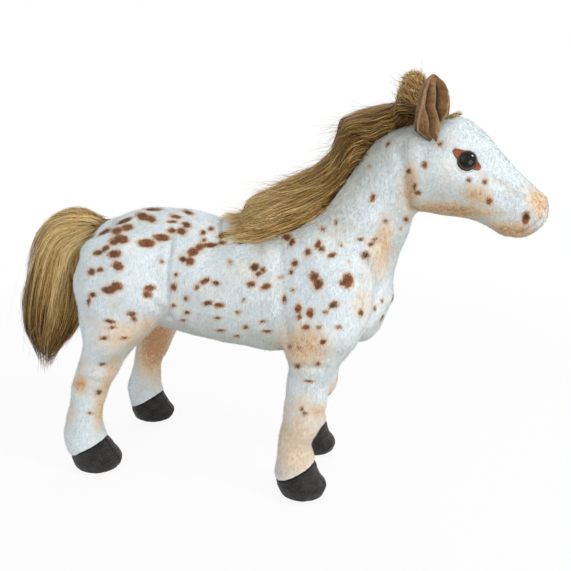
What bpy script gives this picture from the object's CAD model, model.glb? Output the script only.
import math
import bmesh
import bpy
import numpy as np
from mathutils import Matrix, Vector
from mathutils.bvhtree import BVHTree


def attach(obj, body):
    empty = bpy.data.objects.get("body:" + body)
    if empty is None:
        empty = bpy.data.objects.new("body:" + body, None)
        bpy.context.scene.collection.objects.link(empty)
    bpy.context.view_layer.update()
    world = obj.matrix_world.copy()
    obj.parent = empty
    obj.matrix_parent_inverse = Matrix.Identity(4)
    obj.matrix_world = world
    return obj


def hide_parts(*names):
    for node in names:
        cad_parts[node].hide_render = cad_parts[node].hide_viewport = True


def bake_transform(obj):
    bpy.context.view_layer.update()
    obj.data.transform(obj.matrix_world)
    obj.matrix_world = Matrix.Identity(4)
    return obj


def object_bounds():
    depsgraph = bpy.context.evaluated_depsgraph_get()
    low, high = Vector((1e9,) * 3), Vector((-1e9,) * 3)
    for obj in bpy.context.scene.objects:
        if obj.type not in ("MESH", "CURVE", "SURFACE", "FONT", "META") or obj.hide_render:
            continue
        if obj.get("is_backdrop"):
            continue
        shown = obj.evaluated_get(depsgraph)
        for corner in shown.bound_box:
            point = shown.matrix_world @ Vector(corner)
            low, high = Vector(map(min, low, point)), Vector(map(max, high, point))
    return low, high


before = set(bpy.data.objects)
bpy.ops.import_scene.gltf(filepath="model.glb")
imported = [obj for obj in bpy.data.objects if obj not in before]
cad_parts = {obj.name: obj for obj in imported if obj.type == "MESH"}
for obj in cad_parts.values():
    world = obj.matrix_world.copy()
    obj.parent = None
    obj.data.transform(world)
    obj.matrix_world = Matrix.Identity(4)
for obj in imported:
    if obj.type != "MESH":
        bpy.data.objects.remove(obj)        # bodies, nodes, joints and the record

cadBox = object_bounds()
mm = 0.001                                # shapes are worked out in millimetres and made in metres
flanks = [(-1, 'right'), (1, 'left')]     # the sign of y on each side of the horse
yAxis = np.array([0, 1, 0.0])


def addObject(name, data):
    made = bpy.data.objects.new(name, data)
    bpy.context.scene.collection.objects.link(made)
    return made


# the camera comes first, since the markings are placed by its pixels

cameraView = {
    'place': (137.72, -369.20, 238.90),  # mm
    'turn': -16.79,                      # degrees about the upright
    'dip': 13.96,                        # degrees below level
    'focal': 560.0,                      # pixels
    'frame': 571.0,                      # pixels
    'sensor': 36.0,                      # mm
    'clip': (0.01, 20),                  # metres
}


def lookAxes():
    turn, dip = math.radians(cameraView['turn']), math.radians(cameraView['dip'])
    ahead = np.array([math.sin(turn) * math.cos(dip), math.cos(turn) * math.cos(dip), -math.sin(dip)])
    right = np.array([math.cos(turn), -math.sin(turn), 0.0])
    return ahead, right, np.cross(right, ahead)


def pixelOf(points):
    ahead, right, up = lookAxes()
    reach = np.asarray(points, float) - cameraView['place']
    depth = reach @ ahead
    middle, focal = cameraView['frame'] / 2, cameraView['focal']
    return np.stack([middle + focal * (reach @ right) / depth, middle - focal * (reach @ up) / depth], -1)


def rayAt(px, py):
    ahead, right, up = lookAxes()
    middle, focal = cameraView['frame'] / 2, cameraView['focal']
    ray = ahead + right * (px - middle) / focal - up * (py - middle) / focal
    return ray / np.linalg.norm(ray)


def makeCamera():
    ahead = lookAxes()[0]
    data = bpy.data.cameras.new('camera')
    data.sensor_width = cameraView['sensor']
    data.lens = cameraView['sensor'] * cameraView['focal'] / cameraView['frame']
    data.clip_start, data.clip_end = cameraView['clip']
    camera = addObject('camera', data)
    camera.location = Vector(cameraView['place']) * mm
    camera.rotation_euler = Vector(ahead).to_track_quat('-Z', 'Y').to_euler()
    bpy.context.scene.camera = camera


makeCamera()
print('camera placed')

# shader maths


class Sock:
    # one socket of a node tree, so that 1 - mask and mask * 0.5 add their Math nodes
    def __init__(self, tree, socket=None):
        self.tree, self.socket = tree, socket

    def node(self, kind, settings=None, values=None, out=0):
        made = self.tree.nodes.new(kind)
        for name, value in (settings or {}).items():
            if name == 'stops':
                ramp = made.color_ramp
                while len(ramp.elements) < len(value):
                    ramp.elements.new(0.5)
                for element, (place, colour) in zip(ramp.elements, value):
                    element.position, element.color = place, colour
            else:
                setattr(made, name, value)
        for name, value in (values or {}).items():
            if isinstance(value, Sock):
                self.tree.links.new(value.socket, made.inputs[name])
            else:
                made.inputs[name].default_value = value
        return Sock(self.tree, made.outputs[out])

    def maths(self, operation, first, second):
        return self.node('ShaderNodeMath', {'operation': operation}, {0: first, 1: second})

    def __add__(self, other):
        return self.maths('ADD', self, other)

    def __radd__(self, other):
        return self.maths('ADD', other, self)

    def __sub__(self, other):
        return self.maths('SUBTRACT', self, other)

    def __rsub__(self, other):
        return self.maths('SUBTRACT', other, self)

    def __mul__(self, other):
        return self.maths('MULTIPLY', self, other)

    def __rmul__(self, other):
        return self.maths('MULTIPLY', other, self)

    def soft(self, low, high, toLow=0.0, toHigh=1.0):
        return self.node('ShaderNodeMapRange', {'interpolation_type': 'SMOOTHSTEP'},
                         {0: self, 1: low, 2: high, 3: toLow, 4: toHigh})

    def tint(self, first, second, amount, blend='MIX'):
        return self.node('ShaderNodeMix', {'data_type': 'RGBA', 'blend_type': blend},
                         {0: amount, 6: first, 7: second}, out=2)

    def attribute(self, name):
        return self.node('ShaderNodeAttribute', {'attribute_name': name}, out='Fac')

    def place(self, scale):
        # object coordinates, stretched by one scale or by a scale per axis
        where = self.node('ShaderNodeTexCoord', out='Object')
        scale = scale if isinstance(scale, tuple) else (scale,) * 3
        return self.node('ShaderNodeVectorMath', {'operation': 'MULTIPLY'}, {0: where, 1: scale})

    def noise(self, scale, detail=2.0, roughness=0.5):
        where = self.place(scale)
        return self.node('ShaderNodeTexNoise', None,
                         {'Vector': where, 'Scale': 1.0, 'Detail': detail, 'Roughness': roughness})

    def bump(self, height, depth, strength):
        return self.node('ShaderNodeBump', None, {'Height': height, 'Distance': depth, 'Strength': strength})


def srgb(red, green, blue):
    def straight(value):
        value /= 255
        return value / 12.92 if value <= 0.04045 else ((value + 0.055) / 1.055) ** 2.4
    return (straight(red), straight(green), straight(blue), 1.0)


def newMaterial(name, constants):
    material = bpy.data.materials.new(name)
    material.use_nodes = True
    tree = material.node_tree
    surface = tree.nodes['Principled BSDF']
    for socket, value in constants.items():
        surface.inputs[socket].default_value = value
    return material, Sock(tree), surface


def finish(shade, surface, **links):
    for name, value in links.items():
        shade.tree.links.new(value.socket, surface.inputs[name.replace('_', ' ')])


plushLook = {
    'white': srgb(243, 249, 250), 'cold': srgb(202, 216, 222), 'warm': srgb(232, 226, 210),
    'rust': srgb(130, 72, 34), 'rustDark': srgb(70, 49, 34), 'rustPale': srgb(170, 106, 60),
    'halo': srgb(226, 190, 154), 'tan': srgb(238, 208, 170), 'tanDeep': srgb(198, 146, 98),
    'under': srgb(74, 52, 30), 'fold': srgb(196, 198, 196), 'shadow': srgb(182, 172, 150),
    # how fine each pattern is, in waves to a metre
    'streaks': (1300.0, 1300.0, 260.0), 'speckle': 1900.0, 'cloud': 42.0, 'patch': 420.0, 'dapple': 190.0,
}


def plushMaterial():
    look = plushLook
    material, shade, surface = newMaterial('short plush', {
        'Roughness': 0.92, 'Specular IOR Level': 0.12,
        'Sheen Weight': 0.08, 'Sheen Roughness': 0.5, 'Sheen Tint': (1.0, 1.0, 1.0, 1.0)})
    streak = shade.noise(look['streaks'], 3.0, 0.6)
    speckle = shade.noise(look['speckle'], 1.0)
    cloud = shade.noise(look['cloud'])
    patch = shade.noise(look['patch'], 3.0, 0.65)
    grain = shade.attribute('grain')
    white = shade.tint(look['cold'], look['white'], (streak * 0.6 + grain * 0.4).soft(0.3, 0.62))
    white = shade.tint(white, look['warm'], cloud.soft(0.55, 0.75) * 0.5)
    # airbrushed tan, broken up by the pile
    tan = shade.attribute('tan') * (1 + (streak - 0.5) * 1.6 + (patch - 0.5) * 1.4 + (grain - 0.5) * 0.7)
    tanned = shade.tint(look['tan'], look['tanDeep'], tan.soft(0.7, 1.4))
    colour = shade.tint(white, tanned, tan.soft(0.05, 0.95) * 0.95)
    # coat spots with a tan halo
    spot = shade.attribute('spot') + (patch - 0.5) * 2.8 + (streak - 0.5) * 1.8 + (grain - 0.5) * 0.9
    dapple = shade.noise(look['dapple'], 1.0)
    tone = shade.attribute('spotTone') + (dapple - 0.5) * 2.0
    rust = shade.tint(look['rust'], look['rustDark'], tone.soft(0.5, 1.0))
    rust = shade.tint(look['rustPale'], rust, tone.soft(0.0, 0.5))
    rust = shade.tint(rust, look['rustDark'], (speckle * 0.5 + grain * 0.5).soft(0.42, 0.66) * 0.8)
    rust = shade.tint(rust, look['rustPale'], streak.soft(0.5, 0.66) * 0.6)
    colour = shade.tint(colour, look['halo'], spot.soft(-2.0, 0.1) * 0.75)
    colour = shade.tint(colour, rust, spot.soft(-0.7, 0.8) * 0.94)
    # brown ground under the long pile
    under = shade.attribute('under')
    colour = shade.tint(colour, look['under'], (under + (streak - 0.5) * 0.5).soft(0.25, 0.6))
    colour = shade.tint(colour, look['shadow'], shade.attribute('shadow') * 0.75, 'MULTIPLY')
    colour = shade.tint(colour, look['fold'], shade.attribute('fold') * 0.8, 'MULTIPLY')
    finish(shade, surface, Base_Color=colour, Roughness=streak.soft(0.3, 0.7, 0.95, 0.82),
           Normal=shade.bump(streak * 0.7 + speckle * 0.3, 0.0006, 0.75))
    return material


def suedeMaterial(name, dark, light, wear, grain=1500.0):
    material, shade, surface = newMaterial(name, {
        'Roughness': 0.95, 'Specular IOR Level': 0.12, 'Sheen Weight': 0.25, 'Sheen Roughness': 0.5})
    nap = shade.noise(grain, 3.0, 0.65)
    brushed = shade.noise((140.0, 140.0, 320.0), 3.0, 0.6)
    flecks = shade.noise(2600.0, 1.0)
    colour = shade.tint(dark, light, (nap * 0.55 + brushed * 0.45).soft(0.38, 0.62))
    colour = shade.tint(colour, wear, flecks.soft(0.6, 0.75) * 0.4)
    shaded = tuple(channel * 0.32 for channel in dark[:3]) + (1.0,)
    colour = shade.tint(colour, shaded, shade.attribute('crease').soft(0.1, 1.0) * 0.85)
    colour = shade.tint(colour, wear, shade.attribute('edge').soft(0.3, 1.0) * 0.45)
    finish(shade, surface, Base_Color=colour, Roughness=nap.soft(0.3, 0.7, 0.98, 0.85),
           Normal=shade.bump(nap * 0.7 + flecks * 0.3, 0.0004, 0.7))
    return material


def hairMaterial(name, stops, gloss=0.42):
    material, shade, surface = newMaterial(name, {
        'Specular IOR Level': 0.22, 'Sheen Weight': 0.06, 'Sheen Roughness': 0.4})
    tone, along = shade.attribute('tone'), shade.attribute('along')
    fine = shade.noise(900.0, 2.0)
    depth = tone + (fine - 0.5) * 0.25
    colour = shade.node('ShaderNodeValToRGB', {'stops': stops}, {0: depth})
    colour = shade.tint(colour, srgb(58, 38, 20), along.soft(0.34, 0.0) * 0.6)
    colour = shade.tint(colour, srgb(214, 186, 138), along.soft(0.8, 1.0) * tone.soft(0.35, 0.9) * 0.45)
    finish(shade, surface, Base_Color=colour, Roughness=tone.soft(0.0, 1.0, gloss + 0.15, gloss))
    return material


def eyeMaterial():
    material, shade, surface = newMaterial('eye gloss', {
        'Roughness': 0.05, 'Specular IOR Level': 0.26})
    ring = shade.attribute('ring') + (shade.noise(1500.0, 2.0) - 0.5) * 0.04
    colour = shade.node('ShaderNodeValToRGB', {'stops': [
        (0.0, srgb(9, 9, 10)), (0.72, srgb(12, 11, 11)), (0.8, srgb(54, 44, 26)),
        (0.9, srgb(92, 74, 42)), (0.97, srgb(20, 17, 13))]}, {0: ring})
    finish(shade, surface, Base_Color=colour)
    return material


def metalMaterial(name, colour, dull, roughness):
    material, shade, surface = newMaterial(name, {'Metallic': 1.0})
    drawn = shade.noise((900.0, 900.0, 120.0), 3.0)
    blush = shade.noise(160.0, 2.0)
    finish(shade, surface, Base_Color=shade.tint(colour, dull, blush.soft(0.4, 0.7)),
           Roughness=drawn.soft(0.3, 0.7, roughness, roughness + 0.25),
           Normal=shade.bump(drawn, 0.0001, 0.4))
    return material


def plasticMaterial(name, colour, worn):
    material, shade, surface = newMaterial(name, {'Specular IOR Level': 0.4})
    grain = shade.noise(1400.0, 2.0)
    finish(shade, surface, Base_Color=shade.tint(colour, worn, grain.soft(0.5, 0.8)),
           Roughness=grain.soft(0.3, 0.7, 0.35, 0.55), Normal=shade.bump(grain, 0.0001, 0.3))
    return material


maneStops = [(0.0, srgb(54, 35, 13)), (0.25, srgb(104, 72, 28)), (0.5, srgb(164, 124, 60)),
             (0.75, srgb(214, 175, 102)), (1.0, srgb(250, 226, 168))]
plush = plushMaterial()
maneHair = hairMaterial('mane pile', maneStops)
tailHair = hairMaterial('tail pile', maneStops, 0.4)
earSuede = suedeMaterial('ear suede', srgb(106, 77, 48), srgb(152, 116, 78), srgb(186, 152, 110))
hoofSuede = suedeMaterial('hoof suede', srgb(34, 33, 33), srgb(60, 58, 57), srgb(92, 89, 85), 1300.0)
rustSuede = suedeMaterial('eye surround suede', srgb(112, 60, 38), srgb(172, 100, 68), srgb(204, 140, 100))
eyeGloss = eyeMaterial()
steel = metalMaterial('annealed wire', (0.56, 0.56, 0.57, 1), (0.36, 0.35, 0.35, 1), 0.3)
washerPlastic = plasticMaterial('washer plastic', srgb(226, 222, 212), srgb(204, 198, 186))
print('materials made')

# mesh helpers, all in millimetres


def newMesh(name, verts, faces):
    mesh = bpy.data.meshes.new(name)
    mesh.from_pydata((np.asarray(verts) * mm).tolist(), [], [list(map(int, face)) for face in faces])
    return mesh


def newPiece(name, verts, faces, material, replaced=()):
    mesh = newMesh(name, verts, faces)
    mesh.polygons.foreach_set('use_smooth', [True] * len(mesh.polygons))
    mesh.materials.append(material)
    mesh.update()
    piece = addObject(name, mesh)
    if replaced:
        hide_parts(*replaced)
    return piece


def cutPiece(name, points, faces, material, replaced=()):
    # a piece of those points that its faces use, and which points they are
    used, renumbered = np.unique(faces, return_inverse=True)
    return newPiece(name, points[used], renumbered.reshape(-1, 4), material, replaced), used


def setFloats(piece, **values):
    for name, array in values.items():
        layer = piece.data.attributes.new(name, 'FLOAT', 'POINT')
        layer.data.foreach_set('value', np.ascontiguousarray(array, dtype=np.float32))


def setNormals(piece, normals):
    piece.data.normals_split_custom_set_from_vertices(np.asarray(normals).tolist())


def unit(vectors):
    vectors = np.asarray(vectors, float)
    return vectors / np.maximum(np.linalg.norm(vectors, axis=-1, keepdims=True), 1e-9)


def dots(first, second):
    return np.einsum('ij,ij->i', first, second)


def laidFlat(flow, normals):
    # directions turned into the surface that has these normals
    return unit(flow - normals * dots(flow, normals)[:, None])


def ridge(value, middle, half):
    # 1 at the middle and softly less on both sides
    return np.exp(-((value - middle) / half) ** 2)


def smoothStep(value, low, high):
    share = np.clip((np.asarray(value, float) - low) / (high - low), 0, 1)
    return share * share * (3 - 2 * share)


def between(rows, steps):
    # a smooth run of rows through the given ones
    rows = np.asarray(rows, float)
    ends = np.vstack([2 * rows[0] - rows[1], rows, 2 * rows[-1] - rows[-2]])
    run = []
    for k in range(len(rows) - 1):
        a, b, c, d = ends[k:k + 4]
        for t in np.arange(steps) / steps:
            run.append(0.5 * (2 * b + (c - a) * t + (2 * a - 5 * b + 4 * c - d) * t * t
                              + (3 * b - a - 3 * c + d) * t ** 3))
    run.append(rows[-1])
    return np.array(run)


def ringAxes(lean):
    # the way a ring faces and its own upward way, from its lean in degrees
    angle = np.radians(lean)
    zero = np.zeros_like(angle)
    facing = np.stack([np.cos(angle), zero, np.sin(angle)], -1)
    upward = np.stack([-np.sin(angle), zero, np.cos(angle)], -1)
    return facing, upward


def tubeFaces(rings, sides):
    # the point numbers of a tube, ring by ring, and the quads between them
    grid = np.arange(rings * sides).reshape(rings, sides)
    near, far = grid[:-1], grid[1:]
    return grid, np.stack([near, far, np.roll(far, -1, 1), np.roll(near, -1, 1)], -1).reshape(-1, 4).tolist()


def fan(tip, ring):
    # triangles from one point to a ring
    return [[tip, a, b] for a, b in zip(ring, np.roll(ring, -1))]


def stuffedForm(rings, capLow, capHigh):
    # rings are (x, y, z, lean, half depth, half width), closed by a dome at each end
    sides, steps, domeRings = 44, 6, 7
    rows = between(rings, steps)
    facing, upward = ringAxes(rows[:, 3])
    centres, deep, wide = rows[:, :3], rows[:, 4], rows[:, 5]
    angles = np.radians(np.arange(1, domeRings + 1) * 90 / (domeRings + 1))

    def dome(end, cap, sign):
        grow = np.sin(angles)[:, None] * cap * sign
        return (centres[end] + facing[end] * grow, np.repeat(upward[end][None], domeRings, 0),
                deep[end] * np.cos(angles), wide[end] * np.cos(angles))

    low, high = dome(0, capLow, -1), dome(-1, capHigh, 1)
    middles = np.vstack([low[0][::-1], centres, high[0]])
    ups = np.vstack([low[1], upward, high[1]])
    deeps = np.concatenate([low[2][::-1], deep, high[2]])
    wides = np.concatenate([low[3][::-1], wide, high[3]])
    around = np.arange(sides) * 2 * math.pi / sides
    verts = (middles[:, None] + ups[:, None] * (deeps[:, None] * np.cos(around))[..., None]
             + yAxis * (wides[:, None] * np.sin(around))[..., None]).reshape(-1, 3)
    grid, faces = tubeFaces(len(middles), sides)
    faces += fan(len(verts), grid[0]) + [[tip, b, a] for tip, a, b in fan(len(verts) + 1, grid[-1])]
    verts = np.vstack([verts, centres[0] - facing[0] * capLow, centres[-1] + facing[-1] * capHigh])
    return turnedOut(verts, faces)


def turnedOut(verts, faces):
    # the faces of a closed form, turned so that they look outward
    volume = sum(np.dot(verts[f[0]], np.cross(verts[f[k]], verts[f[k + 1]]))
                 for f in faces for k in range(1, len(f) - 1))
    return (verts, faces) if volume > 0 else (verts, [face[::-1] for face in faces])


def cutForm(form, point, outward):
    # drops what lies beyond a plane and closes the cut
    mesh = bmesh.new()
    corners = [mesh.verts.new(v) for v in form[0]]
    for face in form[1]:
        mesh.faces.new([corners[k] for k in face])
    bmesh.ops.bisect_plane(mesh, geom=mesh.verts[:] + mesh.edges[:] + mesh.faces[:], dist=1e-5,
                           plane_co=point, plane_no=outward, clear_outer=True)
    bmesh.ops.holes_fill(mesh, edges=[e for e in mesh.edges if e.is_boundary], sides=0)
    bmesh.ops.recalc_face_normals(mesh, faces=mesh.faces[:])
    mesh.verts.index_update()
    verts = np.array([v.co[:] for v in mesh.verts])
    faces = [[v.index for v in f.verts] for f in mesh.faces]
    mesh.free()
    return verts, faces


def voxelSkin(forms, voxel):
    # joins closed forms into one skin of even quads
    verts, faces, start = [], [], 0
    for formVerts, formFaces in forms:
        verts.append(formVerts)
        faces += [[k + start for k in face] for face in formFaces]
        start += len(formVerts)
    rough = addObject('rough', newMesh('rough', np.vstack(verts), faces))
    skin = rough.modifiers.new('skin', 'REMESH')
    skin.mode, skin.voxel_size = 'VOXEL', voxel * mm
    result = rough.evaluated_get(bpy.context.evaluated_depsgraph_get()).to_mesh()
    points = np.empty(len(result.vertices) * 3)
    result.vertices.foreach_get('co', points)
    loops = np.empty(len(result.loops), dtype=np.int64)
    result.loops.foreach_get('vertex_index', loops)
    bpy.data.objects.remove(rough)
    return Skin(points.reshape(-1, 3) / mm, loops.reshape(-1, 4))


class Skin:
    # a quad mesh that is shaped in code: points, faces, normals and a tree for finding its surface
    def __init__(self, points, faces):
        self.points, self.faces = points, faces
        pairs = np.vstack([faces[:, [0, 1]], faces[:, [1, 2]], faces[:, [2, 3]], faces[:, [3, 0]]])
        pairs = np.unique(np.sort(pairs, 1), axis=0)
        self.starts = np.concatenate([pairs[:, 0], pairs[:, 1]])
        self.ends = np.concatenate([pairs[:, 1], pairs[:, 0]])
        self.degree = np.bincount(self.starts, minlength=len(points)).astype(float)

    def spread(self, values):
        values = np.asarray(values, float)
        if values.ndim == 1:
            return np.bincount(self.starts, values[self.ends], len(self.points)) / self.degree
        return np.stack([self.spread(values[:, k]) for k in range(values.shape[1])], -1)

    def relax(self, rounds, amount, hold):
        # hold pushes back after each round, so the form keeps its size
        for _ in range(rounds):
            self.points = self.points + (self.spread(self.points) - self.points) * amount
            self.points = self.points - (self.spread(self.points) - self.points) * hold

    def swell(self, amount):
        self.points = self.points + self.normals * amount[:, None]

    def middles(self):
        return self.points[self.faces].mean(1)

    def measure(self):
        p = self.points[self.faces]
        across = np.cross(p[:, 2] - p[:, 0], p[:, 3] - p[:, 1])
        spots, count = self.faces.ravel(), len(self.points)
        sums = [np.bincount(spots, np.repeat(across[:, k], 4), count) for k in range(3)]
        self.normals = unit(np.stack(sums, -1))
        self.tree = BVHTree.FromPolygons(self.points.tolist(), self.faces.tolist())

    def hit(self, px, py):
        found = self.tree.ray_cast(Vector(cameraView['place']), Vector(rayAt(px, py)))
        return None if found[0] is None else (np.array(found[0]), np.array(found[1]))

    def nearest(self, point):
        place, normal, _, _ = self.tree.find_nearest(Vector(point))
        return np.array(place), np.array(normal)


def softWaves(points, size, seed):
    # a smooth random field of about unit height, from plane waves of about one size
    count = 14
    dice = np.random.default_rng(seed)
    total = np.zeros(len(points))
    for _ in range(count):
        wave = unit(dice.normal(size=3)) * 2 * math.pi / (size * dice.uniform(0.7, 1.5))
        total += np.sin(points @ wave + dice.uniform(0, 2 * math.pi))
    return total / math.sqrt(count / 2)


# the stuffed coat: one skin over barrel, neck, head and legs

coat = {
    'voxel': 1.25, 'smoothing': 14, 'creaseSmoothing': 60, 'creasePull': 0.9, 'lastSmoothing': 10,
    'lumpSize': 26.0, 'lumpHeight': 0.45,
    # each form: its rings, and the heights of the domes that close its two ends
    'barrel': ([(-102.73, 0, 149.99, 0, 37.25, 40.04), (-77.86, 0, 152.03, 0, 43.46, 44.0),
                (-42.79, 0, 147.95, 0, 45.01, 43.03), (-7.93, 0, 142.23, 0, 43.75, 44.0),
                (27.14, 0, 143.59, 0, 46.07, 44.44), (62.0, 0, 141.6, 0, 38.0, 40.48),
                (81.53, 0, 138.4, 0, 28.4, 33.0)], 22.2, 17.2),
    'neck': ([(40.89, 0, 148.39, 70, 46.44, 35.28), (56.62, 0, 168.52, 55.6, 54, 36),
              (69.97, 0, 185.6, 49, 41.47, 30.02), (86.1, 0, 206.26, 39, 34.78, 25.2),
              (101.56, 0, 226.04, 27, 28.94, 22.32)], 21.6, 21.6),
    'head': ([(113.6, 0, 228.04, -22.7, 28.02, 25.92), (127.63, 0, 227.2, -22.7, 31, 27),
              (146.39, 0, 219.33, -22.7, 25.2, 22.41), (161.89, 0, 209.5, -22.7, 19.2, 16.47),
              (173.63, 0, 201.68, -22.7, 17.6, 15.01), (178.6, 0, 199.04, -22.7, 15.6, 14.04)], 25.8, 12.03),
}

# legs from the haunch or shoulder down to the sole: x, distance from the middle, z, half depth, half width
legs = {
    'hind': {'rows': [(-83.93, 35.28, 162.98, 30.75, 13.86), (-82.91, 36.54, 145, 37.5, 18.48),
                      (-83.93, 36.96, 124.99, 33, 20.16), (-88.42, 42, 108.03, 22.5, 18.06),
                      (-97.12, 42.84, 92.95, 16.8, 15.54), (-104.23, 43.68, 79.03, 15.0, 13.44),
                      (-109.3, 44.1, 66.99, 13.8, 12.6), (-114.67, 44.1, 53.07, 12.52, 11.51),
                      (-118.3, 44.1, 41.03, 13.27, 12.01), (-119.89, 44.1, 29, 15, 13.99),
                      (-114.83, 42, 15.18, 17.29, 15.04), (-111.41, 42, 8.58, 19, 16),
                      (-111.03, 42, 4.18, 17.67, 15.04)],
             'top': 18.85, 'sole': 4.68},
    'fore': {'rows': [(58.83, 28.56, 160.02, 24.6, 11.88), (59.67, 30, 140, 30, 15.84),
                      (58.83, 31.08, 123.06, 27, 18), (56.87, 30.72, 106.96, 20.52, 16.92),
                      (54.3, 30, 95.06, 15.6, 15.12), (50.9, 30, 81.06, 14.6, 14.04),
                      (49.45, 30, 69.02, 15, 13.86), (47.77, 30, 56.98, 13.98, 13.32),
                      (44.27, 30, 44.94, 12.18, 12.06), (42.31, 30, 35, 11.82, 11.88),
                      (43.29, 30, 25.06, 13.8, 13.32), (43.92, 30, 15.18, 15.93, 15.04),
                      (47.07, 30, 8.58, 17.5, 16), (47.42, 30, 4.18, 16.28, 15.04)],
             'top': 18.2, 'sole': 4.68},
    'foreStep': -6.0, 'stepFrom': 140.0,        # the left foreleg stands a little further back
    'heel': 11.0, 'toe': 30.0,                  # heights of the seam over each hoof
}


def legRows(kind, side):
    # rings of one leg on its own side
    rows = []
    for x, y, z, deep, wide in legs[kind]['rows']:
        if kind == 'fore' and side > 0 and z < legs['stepFrom']:
            x += legs['foreStep'] * math.sqrt((legs['stepFrom'] - z) / (legs['stepFrom'] - 10))
        rows.append((x, y * side, z, -90.0, deep, wide))
    return rows


def hoofPlane(kind, side):
    # the sloping plane in which coat and hoof meet
    x, _, _, _, half, _ = legRows(kind, side)[-2]
    rise = (legs['toe'] - legs['heel']) / (2 * half)
    return np.array([x - half, 0, legs['heel']]), unit([-rise, 0, 1.0])


legNames = [(kind, side, word) for kind in ('hind', 'fore') for side, word in flanks]


def makeCoat():
    forms = [stuffedForm(*coat[name]) for name in ('barrel', 'neck', 'head')]
    for kind, side, _ in legNames:
        form = stuffedForm(legRows(kind, side), legs[kind]['top'], legs[kind]['sole'])
        point, upward = hoofPlane(kind, side)
        forms.append(cutForm(form, point, -upward))
    skin = voxelSkin(forms, coat['voxel'])
    skin.relax(coat['smoothing'], 0.5, 0.5)
    skin.measure()
    # fills the inner corners where the forms meet, as the stretched fabric does
    for _ in range(coat['creaseSmoothing']):
        pull = skin.spread(skin.points) - skin.points
        outward = np.maximum(dots(pull, skin.normals), 0)
        skin.points = skin.points + skin.normals * outward[:, None] * coat['creasePull']
    skin.relax(coat['lastSmoothing'], 0.5, 0.45)
    skin.measure()
    skin.swell(softWaves(skin.points, coat['lumpSize'], 4) * coat['lumpHeight'])
    skin.measure()
    return skin


skin = makeCoat()
print('coat skin made:', len(skin.points), 'points')


def mirrored(points):
    return np.asarray(points) * (1, -1, 1)


def onSkin(pixels):
    # pixels of the photograph laid on the near side of the skin, drawn in a little where they miss it
    middle, share = 285, 0.006
    laid = []
    for px, py in pixels:
        for _ in range(12):
            found = skin.hit(px, py)
            if found:
                laid.append(found[0])
                break
            px, py = px + share * (middle - px), py + share * (middle - py)
    return np.array(laid)


def farFromLine(points, line):
    # the distance from each point to a line of several stretches
    nearest = np.full(len(points), 1e9)
    for a, b in zip(line[:-1], line[1:]):
        share = np.clip(((points - a) @ (b - a)) / max(np.dot(b - a, b - a), 1e-9), 0, 1)
        nearest = np.minimum(nearest, np.linalg.norm(points - a - share[:, None] * (b - a), axis=1))
    return nearest


# seams and folds, by pixel: line, depth in mm and half width in mm
seams = [
    ([(401, 146), (402, 156), (404, 168), (406, 182), (407, 194), (409, 206), (414, 211)], 1.5, 3.0),
    ([(173, 236), (170, 256), (168, 276), (169, 298), (171, 318)], 0.9, 2.0),
    ([(169, 317), (161, 307), (152, 300)], 0.7, 2.4),
    ([(281, 250), (283, 275), (284, 300), (286, 325), (288, 342)], 1.3, 4.6),
    ([(362, 256), (369, 264), (374, 273), (376, 288), (374, 305), (370, 320)], 1.3, 3.0),
    ([(336, 372), (322, 368), (305, 366), (294, 366)], 0.8, 2.4),
    ([(520, 233), (528, 229), (535, 224), (541, 218)], 1.0, 1.4),
    ([(494, 178), (504, 185), (514, 192), (521, 197)], 0.5, 1.6),
    ([(113, 385), (104, 381), (93, 380)], 0.5, 2.2),
]
# hollows and swellings, by pixel: centre, half sizes, tilt in degrees, height in mm
swellings = [
    (525.8, 218.3, 3.8, 6.8, 12, -2.3), (527, 226, 9, 4, -35, 0.6),
    (466.7, 160.5, 13, 12, 0, -1.6), (464, 147, 15, 5, 14, 0.9), (463, 175, 16, 5, 10, 0.5),
    (438, 178, 24, 20, 0, 1.1), (325, 285, 34, 34, 0, 2.2), (135, 275, 36, 42, 0, 1.4),
    (318, 345, 18, 14, 0, 0.8), (306, 385, 14, 12, 0, 0.7), (96, 385, 12, 12, 0, 0.6),
]
# airbrushed tan, by pixel: centre, half sizes, tilt in degrees, strength
tanPatches = [
    (383, 246, 11, 34, 8, 0.8), (362, 302, 13, 18, 0, 0.5), (304, 346, 27, 22, 0, 0.95),
    (296, 332, 12, 22, 0, 0.4), (92, 378, 16, 20, 0, 0.35), (299, 446, 34, 50, 0, 0.7),
    (302, 406, 20, 14, 0, 0.55), (126, 336, 34, 17, -8, 0.68), (110, 336, 13, 12, 0, 0.6),
    (146, 326, 15, 9, -25, 0.7), (113, 366, 9, 15, 28, 0.75), (107, 384, 8, 17, 22, 0.85),
    (101, 408, 8, 24, 8, 0.85), (81, 384, 8, 10, 0, 1.1), (71, 412, 6, 16, 6, 0.5),
    (318, 411, 15, 8, 0, 0.85), (84, 366, 8, 12, 0, 0.45), (156, 342, 17, 34, 12, 1.5),
    (540, 203, 12, 17, -20, 0.95), (514, 231, 28, 9, 8, 1.05), (477, 195, 16, 10, 15, 0.95),
    (452, 210, 48, 8, 4, 1.05), (411, 188, 8, 26, 0, 1.0), (486, 178, 12, 5, 30, 0.45),
    (506, 187, 15, 5, 38, 0.4), (331, 402, 12, 20, 0, 1.0), (441, 144, 12, 5, 20, 0.4),
    (436, 209, 16, 9, 0, 0.6), (330, 412, 10, 12, 0, 0.5),
]
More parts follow.
